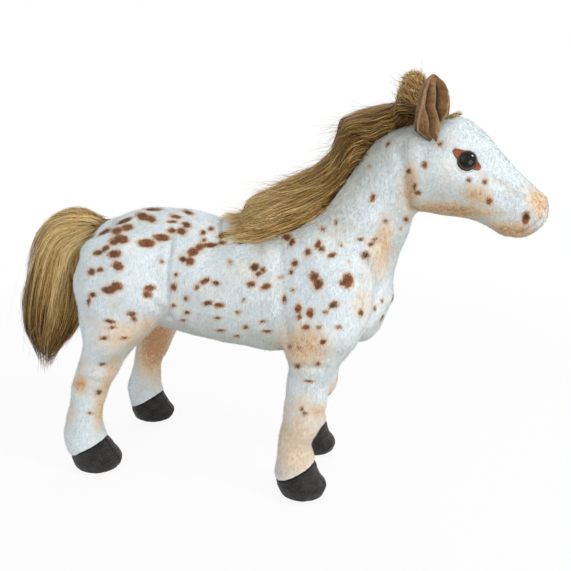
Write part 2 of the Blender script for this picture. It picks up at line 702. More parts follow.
# coat spots, by pixel: centre, width, height, tilt in degrees, darkness
coatSpots = [
    (143, 216.5, 14, 8, 12, .55), (151, 219, 11, 7, 20, .5), (117.5, 231, 12, 7, -22, .6),
    (127, 227.5, 12, 7, -12, .6), (121, 239, 16, 9, 8, .55), (114, 242, 9, 6, 0, .5),
    (146.7, 243, 18, 9, 4, .5), (161.7, 237.5, 17, 7.5, 4, .5), (175.8, 216.7, 12, 4, 10, .3),
    (186.7, 225, 9, 6, 20, .7), (171.7, 230.8, 8, 6, 0, .5), (181.7, 231.3, 10, 7, 10, .6),
    (172.5, 221.7, 10, 3, 0, .3), (188.3, 212.5, 10, 4, 20, .8), (154, 209.7, 18, 3, 0, .8),
    (105, 232.5, 13, 5, -32, .85), (125, 220.8, 16, 4, -22, .85), (98.3, 252.5, 10, 5, -12, .8),
    (105.8, 248.3, 9, 5, -28, .75), (114.7, 253.7, 14, 8, -4, .6), (118, 265.8, 12, 9, 25, .6),
    (100.3, 269.7, 7, 5, 0, .85), (91.7, 271.7, 8, 7, 0, .7), (109, 289.7, 14, 8, 0, .55),
    (117, 285.8, 12, 8, 15, .6), (92.5, 294.5, 7, 5, 0, .9), (149.7, 288, 11, 7, 0, .5),
    (147.5, 294, 9, 7, 0, .3), (131.7, 313.7, 9, 5, 8, .5), (134, 318.5, 6, 4, 40, .3),
    (110.3, 321.2, 11, 4.5, 12, .6), (112.5, 327.5, 8, 3, 0, .6), (104.2, 337.8, 9, 4, 0, .5),
    (124.2, 337.8, 6, 3, 0, .4), (102.5, 363.8, 6, 2.5, 0, .7), (99, 392, 6, 5.5, 0, .75),
    (90, 413, 5, 2, 0, .4), (89, 301, 4, 8, 10, .8), (193, 252, 12, 9, -20, .45), (200, 247, 9, 7, -10, .5),
    (190, 261, 9, 9, 0, .5), (183, 259, 7, 7, 0, .5), (203, 233, 6, 5, 0, .5), (211, 229, 6, 4, 0, .4),
    (224, 235, 13, 6, -12, .5), (210, 245, 16, 5, 0, .45), (222, 243, 9, 4, -10, .45),
    (204, 240, 5, 4, 0, .5), (176.3, 275, 4, 4.5, 0, .7), (173.8, 287, 6, 7.5, 0, .65),
    (186.3, 298.3, 5, 4, 0, .85), (173, 305.8, 5, 3.5, 0, .8), (187.2, 312.5, 6, 4, 0, .85),
    (183.3, 320, 5, 2, 0, .9), (205, 281, 10, 6, -25, .55), (216, 283, 8, 5, 10, .6),
    (197, 287, 4, 5, 0, .6), (208, 303, 10, 5, -10, .65), (219, 305, 10, 5.5, 0, .65),
    (218, 318, 6, 3, 0, .8), (221, 330, 8, 2.5, 0, .8), (246, 327, 5, 3, 0, .8), (237, 336, 6, 2, 0, .85),
    (255, 267, 9, 8, -20, .55), (263, 270, 6, 6, 0, .5), (258, 274, 6, 5, 0, .6), (251, 284, 9, 6, 0, .55),
    (266, 286.5, 10, 6, -15, .6), (263, 321, 6, 3, 0, .8), (267, 331, 9, 2.5, 0, .85),
    (244, 300, 3, 3, 0, .5), (230, 262, 4, 4, 0, .3), (238, 312, 4, 3, 0, .5), (292, 242, 6, 8, 20, .65),
    (287, 237, 9, 7, 0, .75), (308, 252, 6, 8, 20, .6), (318, 244, 6, 9, 10, .55), (322, 249, 6, 6, 0, .55),
    (332, 255, 8, 5, -20, .6), (323, 229, 4.5, 4, 0, .6), (341, 245, 3.5, 3, 0, .7),
    (295, 263, 6, 7, 0, .75), (291, 272, 4, 4.5, 0, .85), (281, 277, 4, 3, 0, .6),
    (314, 276.5, 10, 10, 0, .5), (318.5, 284, 10, 12, 30, .45), (348, 280.5, 11.5, 15, 0, .4),
    (341.5, 283, 5, 6, 0, .4), (334, 304.5, 10, 6.5, -30, .5), (298.5, 308.5, 7.5, 9, 0, .5),
    (299.5, 317, 5, 4.5, 0, .5), (310.5, 313, 7.5, 10, 10, .5), (284.5, 299, 4.5, 8, 0, .75),
    (306, 327, 8, 6, 0, .6), (319, 327, 3.5, 3, 0, .7), (325.5, 312, 4, 3, 0, .7), (339, 327, 6, 4, 0, .35),
    (323, 342, 8, 5, -45, .35), (361, 313, 5, 6.5, -10, .4), (318, 363, 4.5, 4, 0, .5),
    (298, 366, 6, 5, 0, .4), (309, 381, 9, 3, 0, .6), (302, 409, 4.5, 4, 0, .3),
    (305, 413, 4.5, 3.5, 0, .35), (373, 198, 7, 12, 10, .1), (366, 255, 8, 7, -10, .6),
    (370.5, 244, 6, 4.5, 0, .55), (360, 239, 6.5, 3.5, -5, .5), (375, 239, 5, 2.5, -10, .5),
    (385, 221, 4.5, 4, 0, .65), (406, 219, 4.5, 5, 30, .4), (401, 228, 3, 4, 0, .3), (382, 301, 4, 6, 0, .2),
    (375, 308, 4, 7, 20, .2), (388, 144, 5, 8, 25, .3), (376, 138, 4, 4, 0, .2), (370, 166, 4, 5, 0, .3),
    (336, 222, 4, 8, 0, .2), (425, 165, 6.5, 7.5, 0, .4), (409, 171, 4.5, 6, 0, .7),
    (415, 186, 4, 6, 0, .55), (418, 192.5, 5.5, 5, 0, .6), (440, 144, 5, 4, 0, .4), (469, 180, 4, 5, 0, .35),
    (485, 182, 4, 5, 0, .4), (489.5, 201, 7, 7.5, 0, .4), (525.8, 218.3, 7.5, 13, 12, .45),
    (285, 397, 3, 4, 0, .7), (349, 262, 3, 3, 0, .3), (299, 347, 3, 3, 0, .3), (290, 347, 3, 4, 0, .5),
    (293, 290, 3, 3, 0, .4), (162, 262, 3, 3, 0, .2),
]
# the mane's patch, by pixel: its lower edge on the neck, and a line round its top outside the horse
maneEdge = [(222, 251), (232, 248), (248, 241), (263, 239), (278, 236), (298, 228), (321, 214), (333, 200),
            (346, 182), (361, 160), (375, 141), (391, 131), (404, 127), (416, 124)]
maneTop = [(440, 96), (400, 92), (365, 100), (330, 130), (300, 165), (260, 185), (236, 205), (222, 222)]
maneEnd = (232, 246)     # the columns over which the hair thins out on the back
neckPixel = 0.62         # mm of the neck to a pixel
# where spots are guessed: x from and to, z from and to, greatest |y|, how many, least distance, in mm
unseenSpots = [((-135, -95), (100, 180), 46, 26, 11.0), ((76, 112), (108, 160), 20, 4, 15.0)]
marking = {
    'pixel': 0.56,                     # mm of the coat to a pixel
    'halfSize': 0.48,                  # a spot's half size as a share of its width and height
    'jitter': 4, 'jitterTo': 400,      # how far a spot of the far side is moved, in mm, up to this column
    'faintFrom': 330, 'faintUnder': 0.35, 'faintDepth': 0.7, 'faintTone': 0.55,   # spots on neck and throat
    'coatReach': 1.3, 'coatMargin': 4, 'tanReach': 1.6,   # how far round a marking points are looked at
    'mirrorFrom': 9,                   # a marking nearer to the middle than this isn't mirrored, in mm
    # guessed spots: how little the camera sees there, how level the coat may be, tries, half sizes in mm
    'unseenBelow': 0.22, 'levelBelow': 0.8, 'tries': 12, 'unseenHalf': (1.8, 4.4),
    'maneFade': 14.0, 'manePad': 3.2,  # the padding under the mane, in mm
}


def ovalShare(pixels, centre, half, tilt):
    # 0 in the middle of a tilted oval and 1 on its edge
    angle = math.radians(tilt)
    reach = pixels - centre
    along = reach[:, 0] * math.cos(angle) + reach[:, 1] * math.sin(angle)
    across = -reach[:, 0] * math.sin(angle) + reach[:, 1] * math.cos(angle)
    return np.sqrt((along / half[0]) ** 2 + (across / half[1]) ** 2)


def bothSides(centre, sizes, jitter=(0.0, 0.0)):
    # picks the points near a marking on the near side, and near its mirror on the far side
    laid = onSkin([centre])
    if not len(laid):
        return
    place, reach = laid[0], max(sizes) * marking['coatReach'] + marking['coatMargin']
    for side in (-1, 1):
        if side > 0 and place[1] > -marking['mirrorFrom']:
            continue
        moved = skin.points if side < 0 else mirrored(skin.points) - (jitter[0], 0, jitter[1])
        chosen = np.nonzero(np.linalg.norm(moved - place, axis=1) < reach)[0]
        yield chosen, pixelOf(moved[chosen]), side


def shapeCoat():
    # how far the seams and swellings move each point, and how deep in a fold it lies
    shift, fold = np.zeros(len(skin.points)), np.zeros(len(skin.points))
    for line, depth, half in seams:
        laid = onSkin(line)
        for way in (1, -1):
            gap = farFromLine(skin.points, laid * (1, way, 1))
            shift -= depth * ridge(gap, 0, half) - 0.28 * depth * ridge(gap, 2.1 * half, half)
            fold = np.maximum(fold, 0.9 * depth / half * ridge(gap, 0, 0.6 * half))
    for px, py, halfWide, halfHigh, tilt, height in swellings:
        for chosen, pixels, _ in bothSides((px, py), (halfWide, halfHigh)):
            share = ovalShare(pixels, (px, py), (halfWide, halfHigh), tilt)
            shift[chosen] += height * np.exp(-share ** 2 * 1.4)
    return shift, fold


def nearPixels(points):
    # the pixels of points, with those of the far side mirrored to the near one
    return pixelOf(points * (1, 0, 1) - (0, 1, 0) * np.abs(points[:, 1:2]))


def nearColumn(points):
    return nearPixels(points)[:, 0]


def flat(pixels):
    # pixels as points of a plane
    return np.c_[pixels, np.zeros(len(pixels))].astype(float)


def maneMask(points):
    # how far a point is inside the mane's patch, in mm, on either side
    pixels = nearPixels(points)
    outline = np.array(maneEdge + maneTop)
    inside = np.zeros(len(pixels), bool)
    for a, b in zip(outline, np.roll(outline, -1, 0)):
        crosses = (a[1] > pixels[:, 1]) != (b[1] > pixels[:, 1])
        edge = (b[0] - a[0]) * (pixels[:, 1] - a[1]) / (b[1] - a[1] + 1e-9) + a[0]
        inside ^= crosses & (pixels[:, 0] < edge)
    gap = farFromLine(flat(pixels), flat(maneEdge))
    return np.where(inside, gap, -gap) * neckPixel


shift, fold = shapeCoat()
skin.swell(shift)
skin.measure()
mane = maneMask(skin.points)
skin.swell(smoothStep(mane, 0.0, marking['maneFade']) * marking['manePad'])
skin.relax(2, 0.4, 0.3)
skin.measure()
print('seams and hollows shaped')


def hiddenSpots(seen):
    # seeded spots on the parts that the photograph doesn't show
    dice = np.random.default_rng(19)
    places = []
    x, y, z = skin.points.T
    unseen = (seen < marking['unseenBelow']) & (np.abs(skin.normals[:, 2]) < marking['levelBelow'])
    for (backX, frontX), (lowZ, highZ), wide, wanted, apart in unseenSpots:
        inside = unseen & (x > backX) & (x < frontX) & (z > lowZ) & (z < highZ) & (np.abs(y) < wide)
        inside = np.nonzero(inside)[0]
        for _ in range(wanted * marking['tries']):
            place = skin.points[dice.choice(inside)]
            half, way = dice.uniform(*marking['unseenHalf']), unit(dice.normal(size=3))
            if wanted and all(np.linalg.norm(place - other) > apart for other, _, _ in places):
                places.append((place, half, way))
                wanted -= 1
    return places


def markCoat():
    dice = np.random.default_rng(11)
    count = len(skin.points)
    # how squarely each side faces the camera, the far one by its mirror
    seen = {way: dots(skin.normals * (1, -way, 1), unit(cameraView['place'] - skin.points * (1, -way, 1)))
            for way in (-1, 1)}
    marks = {'spot': np.full(count, -9.0), 'spotTone': np.zeros(count), 'tan': np.zeros(count)}
    for px, py, wide, high, tilt, dark in coatSpots:
        jitter = (0, 0)
        if px < marking['jitterTo']:
            jitter = dice.uniform(-marking['jitter'], marking['jitter'], 2)
        half = np.array([wide, high]) * marking['halfSize']
        faint = px > marking['faintFrom'] and dark < marking['faintUnder']
        tone = dark + marking['faintTone'] * faint + 0.3 * smoothStep(-half.max(), -4.5, -2.5)
        for chosen, pixels, _ in bothSides((px, py), half + 4, jitter):
            share = ovalShare(pixels, (px, py), half, tilt)
            depth = (1 - share) * half.mean() * marking['pixel'] - marking['faintDepth'] * faint
            better = depth > marks['spot'][chosen]
            marks['spot'][chosen[better]] = depth[better]
            marks['spotTone'][chosen[better]] = tone
    for px, py, halfWide, halfHigh, tilt, strength in tanPatches:
        half = np.array([halfWide, halfHigh])
        for chosen, pixels, side in bothSides((px, py), half * marking['tanReach']):
            share = ovalShare(pixels, (px, py), half, tilt)
            facing = 0.45 + 0.55 * smoothStep(seen[side][chosen], -0.2, 0.15)
            deep = strength * np.exp(-(share * 0.95) ** 2.4) * facing
            marks['tan'][chosen] = np.maximum(marks['tan'][chosen], deep)
    for place, half, way in hiddenSpots(np.where(skin.points[:, 1] < 0, seen[-1], seen[1])):
        reach = skin.points - place
        gap = np.sqrt((reach ** 2).sum(1) + 1.2 * (reach @ way) ** 2)
        depth = (half - gap) * 0.8
        better = (depth > marks['spot']) & (depth > -3)
        marks['spot'][better] = depth[better]
        marks['spotTone'][better] = 0.35 + 0.4 * (half < 3)
    column = nearColumn(skin.points)
    marks['under'] = smoothStep(mane, -1.0, 1.0) * smoothStep(column, *maneEnd)
    marks['fold'] = fold
    marks['grain'] = np.full(count, 0.5)
    # shade on the belly, and below the mane, where it is wider on the neck
    belly = np.clip(-skin.normals[:, 2], 0, 1) * smoothStep(skin.points[:, 2], 60, 110) * 0.8
    wide = 8.0 + 6.0 * smoothStep(column, 310, 345)
    below = (0.15 + 0.75 * smoothStep(column, 238, 275)) * ridge(np.minimum(mane, 0), 0, wide)
    marks['shadow'] = np.maximum(belly, below)
    return marks


marks = markCoat()
print('coat marked')

# the skin is cut into the pieces that move

# points are (x, z) in mm, and ways are directions in the same plane
joints = {
    'neckPivot': (71.0, 186.93), 'neckFacing': 49.0, 'neckReach': 14.0,
    'headStart': (105.1, 226.0), 'headFacing': (0.977, 0.21), 'headReach': 18.0,
    'hindPoint': (-62.9, 107.0), 'hindWay': (-0.535, -0.845), 'hindReach': 26.0,
    'foreX': 54.0, 'foreHeight': 96.0, 'foreEnd': 62.0, 'headAbove': 150.0,
}


def ahead(points, point, way):
    # how far points lie past a plane
    return (points[..., 0] - point[0]) * way[0] + (points[..., 2] - point[1]) * way[1]


neckWay = (math.cos(math.radians(joints['neckFacing'])), math.sin(math.radians(joints['neckFacing'])))


def neckShare(points):
    return ahead(points, joints['neckPivot'], neckWay)


def regionOf(points):
    # the number of the coat piece that each point belongs to
    region = np.zeros(len(points), int)
    region[neckShare(points) > -joints['neckReach']] = 1
    inFront = ahead(points, joints['headStart'], joints['headFacing']) > 0
    region[inFront & (points[:, 2] > joints['headAbove'])] = 2
    for number, (kind, side, _) in enumerate(legNames):
        rows = np.array(legRows(kind, side))[::-1]
        x, y, deep, wide = (np.interp(points[:, 2], rows[:, 2], rows[:, k]) for k in (0, 1, 4, 5))
        near = np.hypot((points[:, 0] - x) / (deep + 4), (points[:, 1] - y) / (wide + 4)) < 1.15
        if kind == 'hind':
            below = ahead(points, joints['hindPoint'], joints['hindWay']) > 0
        else:
            below = points[:, 2] < joints['foreHeight']
        region[near & below] = 3 + number
    return region


def inMetres(x, z):
    return (x * mm, 0, z * mm)


def bend(piece, number):
    # each piece follows its body, and bends across the seam it shares with the last one
    if number == 0:
        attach(piece, 'trunk')
    elif number == 1:
        (x, z), (alongX, alongZ), reach = joints['neckPivot'], neckWay, joints['neckReach']
        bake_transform(piece)
    elif number == 2:
        (x, z), (alongX, alongZ), reach = joints['headStart'], joints['headFacing'], joints['headReach']
        inMetres(x, z)
        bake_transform(piece)
    else:
        kind, _, word = legNames[number - 3]
        (x, z), (alongX, alongZ), reach = joints['hindPoint'], joints['hindWay'], joints['hindReach']
        start, end = inMetres(x, z), inMetres(x + reach * alongX, z + reach * alongZ)
        if kind == 'fore':
            start, end = (inMetres(joints['foreX'], joints[key]) for key in ('foreHeight', 'foreEnd'))
        kind + 'leg_' + word
        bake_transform(piece)
        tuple(start)
        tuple(end)


coatPieces = [('trunk_coat', ['trunk']), ('neck_coat', ['neck']), ('head_coat', ['head']),
              ('hindleg_coat_right', ['hindleg_right']), ('hindleg_coat_left', ['hindleg_left']),
              ('foreleg_coat_right', ['foreleg_right']), ('foreleg_coat_left', ['foreleg_left'])]


def makeCoatPieces():
    faceRegion = regionOf(skin.middles())
    for number, (name, nodes) in enumerate(coatPieces):
        piece, used = cutPiece(name, skin.points, skin.faces[faceRegion == number], plush, nodes)
        setFloats(piece, **{mark: values[used] for mark, values in marks.items()})
        setNormals(piece, skin.normals[used])
        bend(piece, number)


makeCoatPieces()
print('coat pieces cut')

# the short pile: one thin blade for each tuft of fibres

pile = {
    'perSquare': {0: 1.5, 1: 1.6, 2: 2.4, 3: 1.6, 4: 1.3, 5: 1.6, 6: 1.3},  # blades per square mm
    'length': (1.2, 2.3), 'lift': (14, 40), 'width': 0.3, 'ruffle': 0.12,
    'flow': (-0.45, 0, -1.0), 'headFlow': (-0.9, 0, -0.45), 'headLength': 0.7, 'flowSpread': 0.2,
    'foldShare': 0.6,                          # how much shorter the pile is in a fold
    'hoofShare': 0.3, 'hoofFade': (0.5, 5.0),  # how short it is over the hooves, and up to how many mm
}


def makePile():
    dice = np.random.default_rng(7)
    triangles = np.vstack([skin.faces[:, [0, 1, 2]], skin.faces[:, [0, 2, 3]]])
    corners = skin.points[triangles]
    middles = corners.mean(1)
    areas = np.linalg.norm(np.cross(corners[:, 1] - corners[:, 0], corners[:, 2] - corners[:, 0]), axis=1) / 2
    regions = regionOf(middles)
    hidden = (mane[triangles].mean(1) > 2.0) & (nearColumn(middles) > maneEnd[1])
    for number, (name, _) in enumerate(coatPieces):
        ours = np.nonzero((regions == number) & ~hidden)[0]
        count = int(areas[ours].sum() * pile['perSquare'][number])
        pick = dice.choice(ours, count, p=areas[ours] / areas[ours].sum())
        share = dice.dirichlet((1, 1, 1), count)
        corner = triangles[pick]
        root = np.einsum('ij,ijk->ik', share, skin.points[corner])
        normal = unit(np.einsum('ij,ijk->ik', share, skin.normals[corner]))
        flow = np.array(pile['headFlow'] if number == 2 else pile['flow'])
        flow = laidFlat(flow + dice.normal(size=(count, 3)) * pile['flowSpread'], normal)
        lift = np.radians(dice.uniform(*pile['lift'], count))[:, None]
        length = dice.uniform(*pile['length'], count)[:, None] * (pile['headLength'] if number == 2 else 1)
        length = length * (1 - pile['foldShare'] * dots(share, fold[corner]))[:, None]
        if number > 2:
            point, upward = hoofPlane(*legNames[number - 3][:2])
            above = smoothStep((root - point) @ upward, *pile['hoofFade'])
            length = length * (pile['hoofShare'] + (1 - pile['hoofShare']) * above)[:, None]
        tip = root + (flow * np.cos(lift) + normal * np.sin(lift)) * length
        side = np.cross(flow, normal) * pile['width'] / 2
        verts = np.stack([root - side, root + side, tip], 1).reshape(-1, 3)
        faces = np.arange(count * 3).reshape(-1, 3)
        piece = newPiece(name.replace('coat', 'pile'), verts, faces, plush)
        laid = {mark: dots(share, values[corner]) for mark, values in marks.items()}
        laid['grain'] = dice.uniform(0, 1, count)
        setFloats(piece, **{mark: np.repeat(values, 3) for mark, values in laid.items()})
        setNormals(piece, np.repeat(unit(normal + dice.normal(size=(count, 3)) * pile['ruffle']), 3, 0))
        gridUv(piece, count, np.array([[0.1, 0.05], [0.9, 0.05], [0.5, 0.95]]))
        bend(piece, number)


def gridUv(piece, count, corners):
    # one cell of a square grid for each blade or strand
    across = math.ceil(math.sqrt(count))
    cell = np.stack([np.arange(count) % across, np.arange(count) // across], -1)[:, None]
    places = ((cell + corners) / across).reshape(-1, 2)
    loops = np.empty(len(piece.data.loops), dtype=np.int64)
    piece.data.loops.foreach_get('vertex_index', loops)
    layer = piece.data.uv_layers.new(name='OFBake')
    layer.data.foreach_set('uv', places[loops].astype(np.float32).ravel())


makePile()
print('short pile laid')

# hooves, sewn in charcoal suede

hooves = {
    'voxel': 0.85, 'smoothing': 8,
    'tuck': 0.965, 'tuckAbove': 16,      # the top is drawn in under the coat
    'under': 3.0, 'edgeDrop': 0.9,       # how far it reaches up inside the leg, and how its edge turns in
    'toeSeam': 0.45, 'topSeam': 0.3, 'lumpHeight': 0.12,
    'wear': (2.4, 1.4),                  # height and half width of the worn edge round the sole
}


def makeHoof(kind, side, word):
    rows = []
    for x, y, z, lean, deep, wide in legRows(kind, side)[-5:]:
        tuck = hooves['tuck'] if z > hooves['tuckAbove'] else 1
        rows.append((x, y, z, lean, deep * tuck, wide * tuck))
    point, upward = hoofPlane(kind, side)
    form = cutForm(stuffedForm(rows, 2, legs[kind]['sole']), point + upward * hooves['under'], upward)
    hoof = voxelSkin([form], hooves['voxel'])
    hoof.relax(hooves['smoothing'], 0.5, 0.5)
    hoof.measure()
    middle = legRows(kind, side)[-2]
    front = smoothStep(hoof.points[:, 0], middle[0] + 2, middle[0] + 10)
    crease = ridge(hoof.points[:, 1], middle[1], 0.8) * front
    below = (hoof.points - point) @ upward
    hoof.swell(-hooves['edgeDrop'] * smoothStep(below, -0.8, 1.0))
    hoof.swell(-hooves['toeSeam'] * crease - hooves['topSeam'] * ridge(below, -1.2, 1.0)
               + softWaves(hoof.points, 9, 21) * hooves['lumpHeight'])
    hoof.points[:, 2] = np.maximum(hoof.points[:, 2], 0)
    hoof.measure()
    piece = newPiece(f'{kind}_hoof_cover_{word}', hoof.points, hoof.faces, hoofSuede,
                     [f'{kind}_hoof_{word}'])
    setFloats(piece, crease=np.maximum(crease, ridge(below, -0.2, 0.9) * 0.9),
              edge=ridge(hoof.points[:, 2], *hooves['wear']) * 0.8)
    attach(piece, f'{kind}leg_{word}')


for kind, side, word in legNames:
    makeHoof(kind, side, word)
print('hooves made')

# eyes on suede almonds

eyes = {
    'place': (142.35, 22.69, 230.97), 'facing': (0.2, 0.94, 0.26), 'radius': 6.0, 'dome': 3.7, 'sunk': 0.4,
    'rings': 18, 'sides': 48, 'rim': ([1.0, 0.9], [-0.9, -1.6]),   # the rim's radii as shares, its heights
    'almond': (466.8, 159.4), 'halfLong': 18.8, 'halfHigh': 7.4, 'tilt': 35.4,   # pixels and degrees
    'almondGrid': (41, 15), 'almondSunk': 0.7, 'almondRise': 1.5, 'almondEdge': 0.22,
}


def makeEye(side, word):
    facing = unit(np.array(eyes['facing']) * (1, side, 1))
    across = unit(np.cross(facing, (0, 0, 1.0)))
    upward = np.cross(across, facing)
    centre = np.array(eyes['place']) * (1, side, 1) - facing * eyes['sunk']
    rings, sides = eyes['rings'], eyes['sides']
    angle = np.arange(1, rings + 1) / rings * math.pi / 2
    radii = np.append(np.sin(angle), eyes['rim'][0]) * eyes['radius']
    heights = np.append(np.cos(angle) * eyes['dome'], eyes['rim'][1])
    around = np.arange(sides) * 2 * math.pi / sides
    verts = (centre + facing * heights[:, None, None] + across * (radii[:, None] * np.cos(around))[..., None]
             + upward * (radii[:, None] * np.sin(around))[..., None]).reshape(-1, 3)
    grid, faces = tubeFaces(len(radii), sides)
    faces += fan(len(verts), grid[0]) + [grid[-1][::-1].tolist()]
    verts = np.vstack([verts, centre + facing * eyes['dome']])
    verts, faces = turnedOut(verts, faces)
    piece = newPiece(f'eye_dome_{word}', verts, faces, eyeGloss, [f'eye_{word}'])
    setFloats(piece, ring=np.append(np.repeat(radii / eyes['radius'], sides), 0))
    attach(piece, 'head')


def makeAlmond(side, word):
    across, high = np.meshgrid(*(np.linspace(-1, 1, count) for count in eyes['almondGrid']), indexing='ij')
    bulge = (1 - across ** 2) ** 0.8 * eyes['halfHigh']
    cosine, sine = math.cos(math.radians(eyes['tilt'])), math.sin(math.radians(eyes['tilt']))
    px = eyes['almond'][0] + across * eyes['halfLong'] * cosine - high * bulge * sine
    py = eyes['almond'][1] + across * eyes['halfLong'] * sine + high * bulge * cosine
    rim = np.minimum(1 - np.abs(high), 1 - np.abs(across))
    verts = []
    for x, y, inward in zip(px.ravel(), py.ravel(), rim.ravel()):
        place, normal = skin.hit(x, y)
        rise = eyes['almondRise'] * smoothStep(inward, 0, eyes['almondEdge'])
        verts.append(place + normal * (rise - eyes['almondSunk']))
    verts = np.array(verts) * (1, -side, 1)
    grid = np.arange(across.size).reshape(across.shape)
    faces = np.stack([grid[:-1, :-1], grid[1:, :-1], grid[1:, 1:], grid[:-1, 1:]], -1).reshape(-1, 4)
    normal = np.cross(verts[faces[0][1]] - verts[faces[0][0]], verts[faces[0][3]] - verts[faces[0][0]])
    if normal[1] * side < 0:
        faces = faces[:, ::-1]
    piece = newPiece(f'eye_surround_{word}', verts, faces, rustSuede, [f'eye_backing_{word}'])
    setFloats(piece, crease=ridge(rim.ravel(), 0, 0.12) * 0.7, edge=np.zeros(len(verts)))
    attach(piece, 'head')


for side, word in flanks:
    makeEye(side, word)
    makeAlmond(side, word)
print('eyes made')

# ears: folded suede leaves, with a rolled rim, a pleat and a deep groove

ears = {
    'base': (122.88, 18.9, 241.6), 'facing': 66.0, 'back': 4.2, 'bow': 2.2,
    'heights': [0, 3, 6, 10, 16, 22, 28, 33, 36, 37.4],
    'rear': [-3.0, -7.6, -12.3, -12.6, -11.9, -11.3, -10.2, -7.4, -4.6, -2.6],
    'front': [1.0, 1.8, 2.4, 3.8, 6.2, 7.2, 6.6, 3.8, 0.8, -1.4],
    'drift': 0.62, 'driftFrom': 21.0, 'driftTo': 8.0,    # the folds lean forward towards the root
    # folds: height in mm, then place and half width as shares of the leaf's half width
    'rim': (2.7, -0.76, 0.2), 'valley': (-1.3, -0.43, 0.09), 'pleat': (3.2, -0.08, 0.24),
    'groove': (-2.6, 0.3, 0.1), 'lobe': (2.3, 0.78, 0.26),
    'across': 61, 'acrossBack': 25, 'edgeTurn': 20.8, 'backShare': 0.97, 'backThick': 1.2,
    'lean': (1.0, 2.0, 37),                              # the tip bends in towards the head
}


def earDrift(height):
    return ears['drift'] * smoothStep(-height, -ears['driftFrom'], -ears['driftTo'])


def earFold(name, share):
    height, middle, half = ears[name]
    return height * ridge(share, middle, half)


def earDepth(share, height):
    # how far the leaf's outer face stands forward at a share of its width
    share = share - earDrift(height)
    tall = smoothStep(height, 3, 9) * smoothStep(height, 36.5, 31)
    rim = earFold('rim', share) * (0.5 + 0.5 * tall)
    pleat = earFold('pleat', share) * smoothStep(height, 34, 24)
    valley = earFold('valley', share) * tall
    groove = earFold('groove', share) * smoothStep(height, 7, 14) * smoothStep(height, 35, 29)
    lobe = earFold('lobe', share) * (0.4 + 0.6 * tall)
    return rim + pleat + valley + groove + lobe


def makeEar(side, word):
    angle = math.radians(ears['facing'])
    facing = np.array([math.cos(angle), side * math.sin(angle), 0.0])
    lateral = np.array([math.sin(angle), -side * math.cos(angle), 0.0])
    base = np.array(ears['base']) * (1, side, 1)
    heights = np.concatenate([np.linspace(0, 34, 40), np.linspace(34.6, ears['heights'][-1], 9)])
    shares = np.sin(np.linspace(-1, 1, ears['across']) * math.pi / 2)
    backs = np.sin(np.linspace(1, -1, ears['acrossBack'])[1:-1] * math.pi / 2)
    verts, creases, edges = [], [], []
    for height in heights:
        rear, front = (np.interp(height, ears['heights'], ears[key]) for key in ('rear', 'front'))
        middle, half = (rear + front) / 2, (front - rear) / 2
        fade = smoothStep(height, ears['heights'][-1] + 0.6, 31)
        tall = smoothStep(height, 6, 13) * smoothStep(height, 36, 29)
        for share in shares:
            out = earDepth(share, height) * (0.25 + 0.75 * fade) + ears['bow'] * share ** 2 * fade
            out -= ears['edgeTurn'] * max(abs(share) - 0.9, 0)
            verts.append(base + lateral * (middle + share * half) + facing * out + (0, 0, height))
            fold = share - earDrift(height)
            slit, groove = ridge(fold, -0.43, 0.07) * 0.8, ridge(fold, 0.3, 0.085)
            tucked = smoothStep(-fold, 0.95, 1.15) * 0.75     # the rear edge turns under near the root
            creases.append(max(slit, groove) * tall + tucked * (1 - tall * 0.4))
            edges.append(ridge(share, -0.8, 0.1) + ridge(share, 0.9, 0.1))
        for share in backs:
            out = -ears['back'] * (1 - share ** 2) * (0.35 + 0.65 * fade) - ears['backThick']
            place = middle + share * half * ears['backShare']
            verts.append(base + lateral * place + facing * out + (0, 0, height))
            creases.append(0)
            edges.append(0)
    verts = np.array(verts)
    grid, faces = tubeFaces(len(heights), len(shares) + len(backs))
    for row in (grid[0], grid[-1]):
        faces += [row.tolist() if row[0] else row[::-1].tolist()]
    verts, faces = turnedOut(verts, faces)
    outward, inward, reach = ears['lean']
    verts = verts + facing * (outward - inward * ((verts[:, 2:] - base[2]) / reach) ** 2)
    piece = newPiece(f'ear_leaf_{word}', verts, faces, earSuede, [f'ear_{word}'])
    setFloats(piece, crease=creases, edge=edges)
    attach(piece, f'ear_{word}')


for side, word in flanks:
    makeEar(side, word)
print('ears made')

# long pile: the mane, the tail and the tuft between the ears, as flat tapered strands

groundAlong = 0.4        # the place along a strand whose colour the ground under the strands has
strandCut = {
    'roll': 0.5, 'widths': (0.75, 1.3),      # how strands turn about their length, and differ in width
    'taper': (0.8, 1.6),                     # the share of its width that a strand loses, and how late
    'shading': (0.55, 0.45),                 # the strand's own face, and the surface it lies on
    'lift': 0.35, 'slip': 0.12,              # how unevenly a lock's strands lie in height and along it
    'wave': 0.15, 'waves': (5, 15),          # how far strands wave, and how often
    'looser': (1, 3.5), 'strayLift': 1.2,    # how far stray strands spread and stand off
}


def groundPiece(name, form, material, tone, replaced=()):
    piece = newPiece(name, form.points, form.faces, material, replaced)
    setFloats(piece, tone=tone, along=np.full(len(tone), groundAlong))
    return piece


